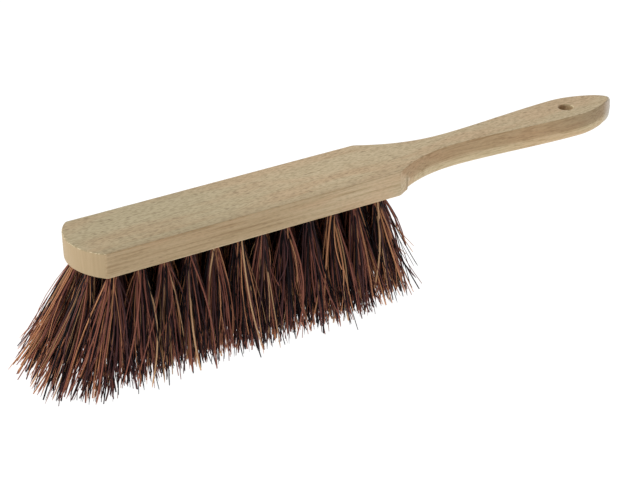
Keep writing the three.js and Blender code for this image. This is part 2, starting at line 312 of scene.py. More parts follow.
# %% Sizes of the edges and holes
EDGE_EASE = 0.8
TOP_EASE = 0.65
TIP_EASE, TIP_ROUNDED = 3.6, 11  # more is sanded off over this length at the tip
TORN_EDGE = 1.5  # deepest chip at the nose
TORN_LENGTH = 2.6  # length of a chip along the edge
TORN_REACH = 0.4  # the chips end behind the front corners, by this share of the bulge
UNEVEN_EDGE, UNEVEN_LENGTH = 0.15, 9  # the sanded edge is now wider, now narrower
UNEVEN_LAYER = 7  # another layer of the noise, so that it doesn't follow the chips
ROUND_OVER_HEIGHT, ROUND_OVER_DEPTH = 9, 2.6
ROUND_OVER_START, ROUND_OVER_RUN_IN = 9, 2
NARROW_SHARE = 0.92  # most of the way to the middle that the round-over takes
HANGING_HOLE_RADIUS, HANGING_HOLE_FROM_TIP, HANGING_HOLE_EASE = 4.8, 38.5, 1.2
TUFT_HOLE_RADIUS, TUFT_HOLE_DEPTH = 3.5, 11
TIP_SPINE = 15  # how far before the tip the inward rings gather
LOWER_STEPS, UPPER_STEPS = 10, 4


def lower_edge_oval(x):
    """Depth and height of the rounded lower edge at a place along the plank."""
    into = min(max((x - BLOCK_LENGTH - ROUND_OVER_START) / ROUND_OVER_RUN_IN, 0), 1)
    sunk = math.sqrt(1 - (1 - into) ** 2)
    depth = EDGE_EASE + (ROUND_OVER_DEPTH - EDGE_EASE) * sunk
    return depth, EDGE_EASE + (ROUND_OVER_HEIGHT - EDGE_EASE) * sunk


def top_edge_radius(point):
    """Radius of the top edge, with chips where the saw left the nose."""
    at_nose = min(max((NOSE_BULGE * TORN_REACH - point.x) / NOSE_BULGE, 0), 1)
    chip = noise.noise(Vector((point.x, point.y, 0)) / TORN_LENGTH)
    uneven = noise.noise(Vector((point.x, point.y, UNEVEN_LAYER)) / UNEVEN_LENGTH)
    at_tip = min(max(1 - (tip_x - point.x) / TIP_ROUNDED, 0), 1)
    torn = at_nose * TORN_EDGE * max(chip, 0)
    return TOP_EASE + torn + TIP_EASE * at_tip ** 2 + UNEVEN_EDGE * uneven


def inwards(point):
    """The direction to the middle of the plank, and how far that is."""
    middle = Vector((min(max(point.x, nose_centre), tip_x - TIP_SPINE), 0))
    return (middle - point).normalized(), (middle - point).length


def edge_ring(share, upper):
    """One ring of the loft: share runs from 0 on the upright side to 1 on the flat face."""
    ring = []
    turn = math.pi / 2 * share
    for point in outline:
        direction, room = inwards(point)
        if upper:
            radius = top_edge_radius(point)
            inset = radius * (1 - math.cos(turn))
            height = -radius * (1 - math.sin(turn))
        else:
            deep, tall = lower_edge_oval(point.x)
            inset = min(deep, NARROW_SHARE * room) * (1 - math.cos(turn))
            height = tall * (1 - math.sqrt(1 - (1 - inset / deep) ** 2)) - thickness
        spot = point + direction * inset
        ring.append((spot.x, spot.y, height))
    return ring


rings = [edge_ring(1 - i / LOWER_STEPS, False) for i in range(LOWER_STEPS + 1)]
rings += [edge_ring(i / UPPER_STEPS, True) for i in range(UPPER_STEPS + 1)]
print("Rings of the loft:", len(rings), "with", len(outline), "points each")

# %% [markdown]
# ## Where the tufts stand
# Fifty holes in four rows carry the tufts. The two inner rows have one more and are shifted by half
# a pitch. All tufts lean a little forward. The front ones fan out round the nose, and the last ones
# lean back. The holes are drilled in the direction in which the tuft stands, so the lean is worked
# out once, for the holes and the fibres.

# %% Lay out the tufts
ROWS, TUFTS_PER_ROW = 4, 12
INNER_ROWS = (1, 2)  # these have one tuft more
SIDE_MARGIN, FRONT_MARGIN, REAR_MARGIN = 6.1, 6.8, 14.6
FORWARD_LEAN, SIDE_LEAN = 0.06, 0.04
FRONT_LEAN, FRONT_LEAN_REACH = 0.5, 50
REAR_LEAN, REAR_LEAN_REACH = 0.24, 100

row_spacing = 2 * (half_block - SIDE_MARGIN) / (ROWS - 1)
tuft_pitch = (BLOCK_LENGTH - FRONT_MARGIN - REAR_MARGIN) / (TUFTS_PER_ROW - 1)
outer_row_y = half_block - SIDE_MARGIN
first_tuft_x = FRONT_MARGIN - tuft_pitch / 2
last_tuft_x = BLOCK_LENGTH - REAR_MARGIN + tuft_pitch / 2


def tuft_place(row, number):
    """Middle of a tuft's hole on the underside."""
    x = FRONT_MARGIN + (number - (0.5 if row in INNER_ROWS else 0)) * tuft_pitch
    return Vector((x, row * row_spacing - outer_row_y, -thickness))


def tuft_lean(place):
    """Run of a tuft along the block and across it, for each unit of drop."""
    front = min(max(1 - (place.x - first_tuft_x) / FRONT_LEAN_REACH, 0), 1)
    rear = min(max(1 - (last_tuft_x - place.x) / REAR_LEAN_REACH, 0), 1)
    fan = Vector((min(place.x - nose_centre, 0), place.y)).normalized() * FRONT_LEAN * front ** 2
    along = fan.x - FORWARD_LEAN + REAR_LEAN * rear ** 2
    return Vector((along, fan.y + SIDE_LEAN * place.y / outer_row_y, -1))


row_counts = [TUFTS_PER_ROW + (row in INNER_ROWS) for row in range(ROWS)]
tufts = [(row, number) for row in range(ROWS) for number in range(row_counts[row])]
print("Tufts:", len(tufts), "at a pitch of", round(tuft_pitch, 2), "mm")

# %% [markdown]
# ## The plank as one closed mesh
# The rings are joined with quads. Each hole adds its own rings: the hanging hole goes right through
# and has eased rims, and a tuft hole is a slanted cup. The flat faces are then filled between the
# outer ring and the rims of the holes. A weighted-normal modifier lets the large flat faces decide
# the shading, so the plank looks flat where it is flat and soft only at its edges.

# %% Build the plank
HANGING_HOLE_SIDES = 40
TUFT_HOLE_SIDES = 20
RIM_STEPS = 4


def circle(centre, radius, sides, height):
    """Points of a level circle."""
    points = []
    for i in range(sides):
        a = 2 * math.pi * i / sides
        points.append((centre.x + radius * math.cos(a), centre.y + radius * math.sin(a), height))
    return points


def hanging_hole_rings():
    """Rings of the hanging hole, from the top face to the underside."""
    centre = Vector((tip_x - HANGING_HOLE_FROM_TIP, 0))
    turns = [math.pi / 2 * i / RIM_STEPS for i in range(RIM_STEPS + 1)]
    ease, sides = HANGING_HOLE_EASE, HANGING_HOLE_SIDES
    rims = [(ease * (1 - math.sin(a)), ease * (1 - math.cos(a))) for a in turns]
    upper = [(out, -down) for out, down in rims]
    lower = [(out, down - thickness) for out, down in reversed(rims)]
    return [circle(centre, HANGING_HOLE_RADIUS + out, sides, z) for out, z in upper + lower]


def tuft_hole_rings(place):
    """Rings of a blind tuft hole, from its rim to its end."""
    rim = circle(place, TUFT_HOLE_RADIUS, TUFT_HOLE_SIDES, place.z)
    shift = tuft_lean(place).normalized() * -TUFT_HOLE_DEPTH
    return [rim, [tuple(Vector(p) + shift) for p in rim]]


def add_rings(mesh, ring_points):
    """Vertices of the rings, joined by quads, and the edges of the first and the last ring."""
    loops = [[mesh.verts.new(in_frame(p)) for p in ring] for ring in ring_points]
    for low, high in zip(loops, loops[1:]):
        for i in range(len(low)):
            mesh.faces.new((low[i - 1], low[i], high[i], high[i - 1]))
    ends = []
    for loop in (loops[0], loops[-1]):
        ends.append([mesh.edges.get((loop[i - 1], loop[i])) for i in range(len(loop))])
    return loops, ends


plank = bmesh.new()
_, (bottom_edges, top_edges) = add_rings(plank, rings)
_, (hole_top, hole_bottom) = add_rings(plank, hanging_hole_rings())
top_edges = top_edges + hole_top
bottom_edges = bottom_edges + hole_bottom
for row, number in tufts:
    cup, (rim_edges, _) = add_rings(plank, tuft_hole_rings(tuft_place(row, number)))
    plank.faces.new(cup[-1])
    bottom_edges = bottom_edges + rim_edges
bmesh.ops.triangle_fill(plank, use_beauty=True, edges=top_edges, normal=(0, 0, 1))
bmesh.ops.triangle_fill(plank, use_beauty=True, edges=bottom_edges, normal=(0, 0, -1))
bmesh.ops.recalc_face_normals(plank, faces=plank.faces)
open_edges = sum(not edge.is_manifold for edge in plank.edges)
plank_mesh = bpy.data.meshes.new("beech_plank")
plank.to_mesh(plank_mesh)
plank.free()
plank_mesh.shade_smooth()
beech_plank = bpy.data.objects.new("beech_plank", plank_mesh)
bpy.context.scene.collection.objects.link(beech_plank)
flat_faces = beech_plank.modifiers.new("flat_faces", "WEIGHTED_NORMAL")
flat_faces.weight = 100  # the largest faces decide
flat_faces.keep_sharp = True
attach(beech_plank, "root")
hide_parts("beech_body")
print("Plank faces:", len(plank_mesh.polygons), "open edges:", open_edges)

# %% [markdown]
# ## Raw beech: its tones
# Beech is a pale, even wood, here planed and sanded but not varnished. The planed top is greyer
# than the sawn sides, and both are darker towards the nose. The sides grow paler towards the
# shoulder, have a painted shade line in the crease where the handle's round-over begins and a
# painted highlight just behind it, and darken again before the tip. The tip is pale from wear and
# from a painted highlight on its end. The oval lower edge, which faces down, is painted paler, as
# the table's light would make it, and the top is painted darker along its near side, as shade on a
# rounded edge. All this depends only on the place on the plank and on the way that a face looks.

# %% Turn the tones along the plank
# Each tone stands with the places along the plank, in millimetres from the front corners, where the
# wood begins to turn to it and where it has turned, and with a slant: by how much a unit of depth
# counts as further along the plank.
TOP_NOSE, SIDE_NOSE = "#b2a381", "#c6ac86"
TOP_TONES = (("#c2af8c", 45, 165, 0),)
SIDE_TONES = (
    ("#dcc7a3", 105, 195, 0),
    # painted shade: a dark line in the crease where the round-over begins
    ("#bca886", 212, 214.5, 0),
    # painted highlight: a pale strip just behind the crease, on the round-over
    ("#ede0c2", 215, 216.5, 0),
    ("#c3a57d", 204, 209, -1.2),
    ("#b19975", 320, 375, 0),
)
ROUNDED_TABLE_LIGHT = "#dcc79f"  # painted light: the oval lower edge faces down and is paler, as the table would light it
WORN_TIP_SHEEN, WORN_TIP_SHEEN_BEGIN, WORN_TIP_SHEEN_FULL = "#dcd3c5", 383, 395  # the tip, pale from hanging and standing and with a painted highlight on its end
NEAR_EDGE_SHADE, NEAR_EDGE_SHADE_WIDTH = "#eee9e4", 12  # painted shade: the top darkens towards its near long edge, as a rounded edge would, width in mm


def turning_tone(tree, spot, nose_tone, tones):
    """A colour that starts from the nose's tone and turns to others along the plank."""
    depth = add_node(
        tree, "ShaderNodeMath", {"operation": "SUBTRACT"}, {0: wood_high.z}, {1: spot.outputs["Z"]})
    so_far = {}
    for tone, begin, reached, slant in tones:
        slanted = add_node(
            tree, "ShaderNodeMath", {"operation": "MULTIPLY_ADD"}, {1: slant},
            {0: depth.outputs["Value"], 2: spot.outputs["X"]})
        turn = add_node(
            tree, "ShaderNodeMapRange", SMOOTH,
            {"From Min": in_frame((begin, 0, 0)).x, "From Max": in_frame((reached, 0, 0)).x},
            {"Value": slanted.outputs["Value"]})
        mixed = add_node(
            tree, "ShaderNodeMix", BLEND, {6: linear(nose_tone), 7: linear(tone)},
            {0: turn.outputs["Result"], **so_far})
        so_far = {6: mixed.outputs[2]}
    return mixed.outputs[2]


def plank_tones(tree, spot, facing):
    """The wood's colour with painted light and shade, and how far a face belongs to the top."""
    # painted shade along the near long edge of the top
    near_edge_shade = add_node(
        tree, "ShaderNodeMapRange", SMOOTH,
        {"From Min": (NEAR_EDGE_SHADE_WIDTH - half_block) * MM, "From Max": -half_block * MM},
        {"Value": spot.outputs["Y"]})
    top = add_node(
        tree, "ShaderNodeMix", TINT, {7: linear(NEAR_EDGE_SHADE)},
        {0: near_edge_shade.outputs["Result"], 6: turning_tone(tree, spot, TOP_NOSE, TOP_TONES)})
    # painted light: faces of the lower edge that look down turn paler
    rounded = add_node(
        tree, "ShaderNodeMapRange", SMOOTH, {"From Min": -0.02, "From Max": -0.16},
        {"Value": facing.outputs["Z"]})
    side = add_node(
        tree, "ShaderNodeMix", BLEND, {7: linear(ROUNDED_TABLE_LIGHT)},
        {0: rounded.outputs["Result"], 6: turning_tone(tree, spot, SIDE_NOSE, SIDE_TONES)})
    # wear and a painted highlight: the tip turns paler
    tip_wear_and_sheen = add_node(
        tree, "ShaderNodeMapRange", SMOOTH,
        {"From Min": in_frame((WORN_TIP_SHEEN_BEGIN, 0, 0)).x, "From Max": in_frame((WORN_TIP_SHEEN_FULL, 0, 0)).x},
        {"Value": spot.outputs["X"]})
    side = add_node(
        tree, "ShaderNodeMix", BLEND, {7: linear(WORN_TIP_SHEEN)},
        {0: tip_wear_and_sheen.outputs["Result"], 6: side.outputs[2]})
    on_top = add_node(
        tree, "ShaderNodeMapRange", SMOOTH, {"From Min": 0.5, "From Max": 0.97},
        {"Value": facing.outputs["Z"]}).outputs["Result"]
    colour = add_node(
        tree, "ShaderNodeMix", BLEND, links={0: on_top, 6: side.outputs[2], 7: top.outputs[2]})
    return colour.outputs[2], on_top


print("Tones of the top and the sides:", len(TOP_TONES) + 1, len(SIDE_TONES) + 1)

# %% [markdown]
# ## Raw beech: rings, grain and flecks
# The growth rings of beech are weak. What gives the wood away are the rays: short dark dashes that
# lie along the grain. Every pattern here is solid, with its place taken from the object and not
# from an unwrapping, so a fleck on the top face runs on over the edge. Each one darkens the wood by
# a tint of its own. Streaks show more on the sides, and flecks more on the top.

# %% Draw the patterns of the wood
# Soft patterns: the size of a cell in mm along, across and up, then the detail and the roughness
PATTERNS = {
    "zone": ((75.0, 17.0, 17.0), 2.0, 0.55),  # straw-coloured and pinkish areas
    "grain": ((42.0, 1.1, 1.1), 3.0, 0.6),  # as fine as the picture shows, real fibres are finer
    "dash": ((3.2, 0.8, 0.8), 1.0, 0.5),  # fine dashes between the flecks
    "saw": ((30.0, 1.3, 26.0), 2.0, 0.5),  # saw lines on the end grain
    "tear": ((1.8, 1.8, 1.8), 2.0, 0.5),  # torn fibres on the top edge of the nose
    "pore": ((1.6, 0.5, 0.5), 2.0, 0.5),  # open pores, drawn coarser than they are
}
FLECK_CELL = (5.5, 1.35, 1.35)  # mm, room for one ray fleck
RING_WIDTH = 3.4  # mm, yearly growth
PITH = (0.0, 11.0, 15.0)  # mm, middle of the log, below the plank
LOG_SCALE = (40, 1000, 1000)  # millimetres across the log, and rings drawn out along it
WAVE_RADIANS = 20  # how far a wave texture of scale 1 turns in one unit
PINKISH, LATE_WOOD, STREAK, DASH, FLECK = "#fff5f1", "#e8dfd0", "#dbd3c4", "#cbc5b6", "#aa9b81"


def soft_patterns(tree, place):
    """The soft patterns by name."""
    soft = {}
    for pattern, (cell, detail, roughness) in PATTERNS.items():
        cell_place = add_node(
            tree, "ShaderNodeMapping", values={"Scale": cells_per_metre(*cell)},
            links={"Vector": place})
        soft[pattern] = add_node(
            tree, "ShaderNodeTexNoise",
            values={"Scale": 1.0, "Detail": detail, "Roughness": roughness},
            links={"Vector": cell_place.outputs["Vector"]}).outputs["Fac"]
    return soft


def growth_rings(tree, place, soft, colour):
    """The colour with its pinkish areas and its yearly rings."""
    zone = add_node(
        tree, "ShaderNodeMapRange", SMOOTH, {"From Min": 0.42, "From Max": 0.64},
        {"Value": soft["zone"]})
    colour = add_node(
        tree, "ShaderNodeMix", TINT, {7: linear(PINKISH)}, {0: zone.outputs["Result"], 6: colour})
    log_place = add_node(
        tree, "ShaderNodeMapping",
        values={"Scale": LOG_SCALE, "Location": tuple(-p for p in PITH)}, links={"Vector": place})
    rings_seen = add_node(
        tree, "ShaderNodeTexWave", {"wave_type": "RINGS", "rings_direction": "X"},
        {"Scale": 2 * math.pi / (WAVE_RADIANS * RING_WIDTH),
         "Distortion": 3.0, "Detail": 2.0, "Detail Scale": 0.8},
        {"Vector": log_place.outputs["Vector"]})
    late_wood = add_node(
        tree, "ShaderNodeMapRange", SMOOTH, {"From Min": 0.55, "From Max": 1.0, "To Max": 0.22},
        {"Value": rings_seen.outputs["Fac"]})
    return add_node(
        tree, "ShaderNodeMix", TINT, {7: linear(LATE_WOOD)},
        {0: late_wood.outputs["Result"], 6: colour.outputs[2]}).outputs[2]


def grain_and_dashes(tree, soft, colour, on_top, fleck_seen):
    """The colour with the streaks of the grain and the fine dashes."""
    streak = add_node(
        tree, "ShaderNodeMapRange", SMOOTH, {"From Min": 0.42, "From Max": 0.75},
        {"Value": soft["grain"]})
    streak_seen = add_node(
        tree, "ShaderNodeMapRange", values={"To Min": 0.95, "To Max": 0.42},
        links={"Value": on_top})
    streak = add_node(
        tree, "ShaderNodeMath", {"operation": "MULTIPLY"},
        links={0: streak.outputs["Result"], 1: streak_seen.outputs["Result"]})
    colour = add_node(
        tree, "ShaderNodeMix", TINT, {7: linear(STREAK)}, {0: streak.outputs["Value"], 6: colour})
    dash = add_node(
        tree, "ShaderNodeMapRange", SMOOTH, {"From Min": 0.46, "From Max": 0.62, "To Max": 0.62},
        {"Value": soft["dash"]})
    dash = add_node(
        tree, "ShaderNodeMath", {"operation": "MULTIPLY"},
        links={0: dash.outputs["Result"], 1: fleck_seen})
    return add_node(
        tree, "ShaderNodeMix", TINT, {7: linear(DASH)},
        {0: dash.outputs["Value"], 6: colour.outputs[2]}).outputs[2]


def ray_flecks(tree, place, colour, fleck_seen):
    """The colour with its ray flecks, and where they are."""
    fleck_place = add_node(
        tree, "ShaderNodeMapping", values={"Scale": cells_per_metre(*FLECK_CELL)},
        links={"Vector": place})
    fleck_cell = add_node(
        tree, "ShaderNodeTexVoronoi", values={"Scale": 1.0},
        links={"Vector": fleck_place.outputs["Vector"]})
    fleck_edge = add_node(
        tree, "ShaderNodeMapRange", SMOOTH,
        {"From Min": 0.12, "From Max": 0.42, "To Min": 1.0, "To Max": 0.0},
        {"Value": fleck_cell.outputs["Distance"]})
    fleck_luck = add_node(
        tree, "ShaderNodeSeparateColor", links={"Color": fleck_cell.outputs["Color"]})
    fleck_dark = add_node(
        tree, "ShaderNodeMapRange", values={"From Min": 0.5, "From Max": 1.0, "To Max": 0.9},
        links={"Value": fleck_luck.outputs["Red"]})
    fleck = add_node(
        tree, "ShaderNodeMath", {"operation": "MULTIPLY"},
        links={0: fleck_edge.outputs["Result"], 1: fleck_dark.outputs["Result"]})
    fleck = add_node(
        tree, "ShaderNodeMath", {"operation": "MULTIPLY"},
        links={0: fleck.outputs["Value"], 1: fleck_seen}).outputs["Value"]
    colour = add_node(tree, "ShaderNodeMix", TINT, {7: linear(FLECK)}, {0: fleck, 6: colour})
    return colour.outputs[2], fleck


print("Soft patterns of the wood:", *PATTERNS)

# %% [markdown]
# ## Raw beech: the sawn nose
# End grain shows at the nose, where the faces look along the plank. It is warmer, and the saw has
# left fine upright lines on it. The saw has also torn the top edge, where pale fibres stand up from
# a darker bed.

# %% Saw the nose
END_DARK, END_LIGHT = "#a8906a", "#bba37f"  # in the saw lines and between them
TORN_BED, TORN_SPECK = "#a08e6a", "#cfbd98"


def sawn_nose(tree, facing, soft, colour):
    """The colour with the end grain and the torn edge, and where the end grain is."""
    end_grain = add_node(
        tree, "ShaderNodeMapRange", SMOOTH, {"From Min": -0.5, "From Max": -0.75},
        {"Value": facing.outputs["X"]}).outputs["Result"]
    end_colour = add_node(
        tree, "ShaderNodeMix", BLEND, {6: linear(END_DARK), 7: linear(END_LIGHT)},
        {0: soft["saw"]})
    colour = add_node(
        tree, "ShaderNodeMix", BLEND, links={0: end_grain, 6: colour, 7: end_colour.outputs[2]})
    on_edge = add_node(
        tree, "ShaderNodeMapRange", SMOOTH, {"From Min": 0.2, "From Max": 0.4},
        {"Value": facing.outputs["Z"]})
    at_nose = add_node(
        tree, "ShaderNodeMapRange", SMOOTH, {"From Min": -0.12, "From Max": -0.3},
        {"Value": facing.outputs["X"]})
    nose_edge = add_node(
        tree, "ShaderNodeMath", {"operation": "MULTIPLY"},
        links={0: on_edge.outputs["Result"], 1: at_nose.outputs["Result"]})
    colour = add_node(
        tree, "ShaderNodeMix", BLEND, {7: linear(TORN_BED)},
        {0: nose_edge.outputs["Value"], 6: colour.outputs[2]})
    torn = add_node(
        tree, "ShaderNodeMapRange", SMOOTH, {"From Min": 0.5, "From Max": 0.6},
        {"Value": soft["tear"]})
    torn = add_node(
        tree, "ShaderNodeMath", {"operation": "MULTIPLY"},
        links={0: torn.outputs["Result"], 1: nose_edge.outputs["Value"]})
    colour = add_node(
        tree, "ShaderNodeMix", BLEND, {7: linear(TORN_SPECK)},
        {0: torn.outputs["Value"], 6: colour.outputs[2]})
    return colour.outputs[2], end_grain


print("Tones of the nose:", END_DARK, END_LIGHT, TORN_BED, TORN_SPECK)

# %% [markdown]
# ## Raw beech: put together
# The colour passes through the layers in turn. The same patterns then give a slight relief: grain,
# pores and saw lines stand out, and the flecks lie lower. Raw wood is matt, and a little more so in
# some streaks of the grain than in others.

# %% Finish the plank
RELIEF = 0.12 * MM


def raw_beech():
    """Sanded beech without varnish: pale, matt, with dark ray flecks along the grain."""
    material, tree = new_material("sanded_raw_beech")
    place = add_node(tree, "ShaderNodeTexCoord").outputs["Object"]
    spot = add_node(tree, "ShaderNodeSeparateXYZ", links={"Vector": place})
    surface = add_node(tree, "ShaderNodeNewGeometry").outputs["True Normal"]
    facing = add_node(tree, "ShaderNodeSeparateXYZ", links={"Vector": surface})

    soft = soft_patterns(tree, place)
    colour, on_top = plank_tones(tree, spot, facing)
    fleck_seen = add_node(
        tree, "ShaderNodeMapRange", values={"To Min": 0.35, "To Max": 1.0},
        links={"Value": on_top}).outputs["Result"]
    colour = growth_rings(tree, place, soft, colour)
    colour = grain_and_dashes(tree, soft, colour, on_top, fleck_seen)
    colour, fleck = ray_flecks(tree, place, colour, fleck_seen)
    colour, end_grain = sawn_nose(tree, facing, soft, colour)

    saw_height = add_node(
        tree, "ShaderNodeMath", {"operation": "MULTIPLY"}, links={0: soft["saw"], 1: end_grain})
    height = add_node(
        tree, "ShaderNodeMath", {"operation": "SUBTRACT"}, links={0: soft["grain"], 1: fleck})
    for layer in (saw_height.outputs["Value"], soft["pore"]):
        height = add_node(
            tree, "ShaderNodeMath", {"operation": "ADD"},
            links={0: height.outputs["Value"], 1: layer})
    relief = add_node(
        tree, "ShaderNodeBump", values={"Strength": 0.5, "Distance": RELIEF},
        links={"Height": height.outputs["Value"]})
    matt = add_node(
        tree, "ShaderNodeMapRange", values={"To Min": 0.55, "To Max": 0.75},
        links={"Value": soft["grain"]})
    shader = add_node(
        tree, "ShaderNodeBsdfPrincipled", values={"IOR": 1.5},
        links={"Base Color": colour, "Roughness": matt.outputs["Result"],
               "Normal": relief.outputs["Normal"]})
    add_node(tree, "ShaderNodeOutputMaterial", links={"Surface": shader.outputs["BSDF"]})
    return material


beech_plank.data.materials.append(raw_beech())
print("Material:", beech_plank.data.materials[0].name)

# %% [markdown]
# ## Palm fibre, one strand at a time
# The tufts are stiff leaf-stalk fibres of a palm, cut by hand and unsorted: thick and thin,
# straight and slightly bent, near black to straw-coloured. Hair particles would give the look in a
# render, but not a mesh that can be handed on. So every fibre here is a small tapered tube of its
# own. Each has a root in its hole, leans with its tuft, gathers with a few neighbours in a sheaf,
# and fans out towards its tip. A seeded random generator makes the same brush each time.

# %% Sizes of the fibres
FIBRE_DROP, FIBRE_LENGTH = 72.6, 83
CORNER_TRIM, REAR_TRIM = 5, 7  # the fibres at the front corners and at the rear are shorter by this
STEEPEST_RUN = 0.68  # most that a fibre runs sideways for each unit of drop
WIDEST = 47  # how far from the middle plane a straight fibre may end
FIBRES_PER_TUFT = 124
SHEAVES_PER_TUFT = 7
SHEAF_PULL = 0.42  # share of a fibre's spread that its sheaf decides
SHEAF_YIELD = 0.6  # part of that share by which the fibre's own spread shrinks
REACH_ALONG, REACH_ACROSS = 10.5, 8.5  # half-size of the ground that a tuft fills
# The tufts at both ends, which fan out, fill less
NOSE_GATHER, REAR_GATHER, REAR_GATHER_REACH = 0.15, 0.62, 40
SPLAY = 3  # how much further the tips of the outer rows stand out
ROOT_DISC = 3.2
ROOT_INSIDE = 4  # length of a fibre that is hidden in its hole
RAGGED, NOSE_RAGGED = 9, 0.5  # the tips at the nose are more uneven by this share
RAGGED_POWER = 1.5  # most tips are cut only a little short
BROKEN_SHARE, BROKEN_LEFT = 0.06, (0.45, 0.9)  # and what is left of their length
FIBRE_SIDES = 5
FIBRE_STEPS = 9
STEP_POWER = 1.5  # shorter steps towards the tip
BEND_POWER = 1.1  # a fibre leans a little more towards its tip
THIN, THICK, THICK_POWER = 0.3, 0.72, 1.7  # radius, thick ones are rarer
ROOT_MIX = 0.75  # share of a root's place that doesn't follow the place of its tip
WANDER, STRAY_WANDER = 3.8, 7.5  # how far a tip strays from its place
STRAY_SHARE, STRAYS_BEHIND = 0.08, 30  # there are none at the nose
BOW = 2.4
PALE_LIT_REACH = 22  # length of the front part in which more pale fibres show, partly as painted light on the nose
PALE_LIT_SIDE = 16  # width across the nose over which they grow from none to their full share
DARK_CORNER = 0.4  # the near corner has fewer than the rear, by this part of that share
FLICK = 2.4
KICK_SHARE = 0.05  # share of the fibres of the last tufts that stand off to the rear
KICK_RUN, KICK_LEFT = (0.15, 0.4), (0.4, 0.85)  # how steeply they do, and how long they are

# Share of each colour in a tuft at the rear and at the front, where more pale fibres show. At the
# front they stand partly for painted light on the nose.
COLOURS = {
    "black": (0.31, 0.20),
    "umber": (0.27, 0.18),
    "russet": (0.24, 0.20),
    "amber": (0.13, 0.28),
    "straw": (0.05, 0.14),
}

dice = random.Random(11)


def disc_point():
    """A random point in the unit disc."""
    radius, turn = math.sqrt(dice.random()), 2 * math.pi * dice.random()
    return Vector((radius * math.cos(turn), radius * math.sin(turn), 0))


def level_gauss(size):
    """A random level step of about this length."""
    return Vector((dice.gauss(0, size), dice.gauss(0, size), 0))


def fibre_course(place, sheaf):
    """Points along one fibre, from inside its hole to its tip, in millimetres."""
    spot = disc_point()
    spread = sheaf * SHEAF_PULL + spot * (1 - SHEAF_PULL * SHEAF_YIELD)
    at_nose = min(max(1 - (place.x - first_tuft_x) / FRONT_LEAN_REACH, 0), 1)
    at_rear = min(max(1 - (last_tuft_x - place.x) / REAR_GATHER_REACH, 0), 1)
    spread *= 1 - NOSE_GATHER * at_nose ** 2 - REAR_GATHER * at_rear ** 2
    root = place + (spot * (1 - ROOT_MIX) + disc_point() * ROOT_MIX) * ROOT_DISC
    ground = place + Vector((spread.x * REACH_ALONG, spread.y * REACH_ACROSS, 0))
    ground.y += SPLAY * place.y / outer_row_y * (1 - at_nose)
    strays = dice.random() < STRAY_SHARE and place.x > STRAYS_BEHIND
    ground += level_gauss(STRAY_WANDER if strays else WANDER)
    lean = tuft_lean(ground)
    slope = Vector((lean.x, lean.y, 0)) + (ground - root) / FIBRE_DROP
    slope *= min(1, STEEPEST_RUN / slope.length)
    slope.y = min(max(slope.y, (-WIDEST - root.y) / FIBRE_DROP), (WIDEST - root.y) / FIBRE_DROP)
    drop = min(FIBRE_DROP, FIBRE_LENGTH / math.sqrt(1 + slope.length_squared))
    drop -= CORNER_TRIM * at_nose * (place.y / outer_row_y) ** 2 + REAR_TRIM * at_rear ** 2
    drop -= RAGGED * (1 + NOSE_RAGGED * at_nose) * dice.random() ** RAGGED_POWER
    if dice.random() < BROKEN_SHARE:
        drop *= dice.uniform(*BROKEN_LEFT)
    if place.x > last_tuft_x - tuft_pitch and dice.random() < KICK_SHARE:
        slope.x += dice.uniform(*KICK_RUN)
        drop *= dice.uniform(*KICK_LEFT)
    bow, flick = level_gauss(BOW), level_gauss(FLICK)
    course = [root - tuft_lean(place) * ROOT_INSIDE]
    for i in range(FIBRE_STEPS):
        t = 1 - (1 - i / (FIBRE_STEPS - 1)) ** STEP_POWER
        swing = bow * math.sin(math.pi * t) + flick * t ** 3
        course.append(root + slope * drop * t ** BEND_POWER + swing + Vector((0, 0, -drop * t)))
    return course


print("Fibres planned:", FIBRES_PER_TUFT * len(tufts))

# %% [markdown]
# ## From courses to meshes
# A fibre's tube has five sides and follows its course. It is a little flat, as a split leaf stalk
# is, and it narrows towards the tip, which is either pointed or cut. The mesh also keeps two facts
# for the material: how far along the fibre a point lies, and a random tone for the whole fibre. The
# map gives every fibre a narrow strip of its own, root below and tip above, so that the colours can
# be baked without running into each other.

# %% Make the fibres
FLATNESS = (0.4, 1.0)  # depth of a fibre for each unit of its width
TWIST = 0.8  # most that a fibre turns, in radians
NARROWING = 0.15  # share of the radius that is lost towards the tip
POINTED_SHARE = 0.45
POINT_WIDTH, CUT_WIDTH = 0.3, 0.85  # share of the radius at a pointed and at a cut tip
SIDE_GAP, END_GAP = 0.1, 0.05  # free edge of a strip of the map


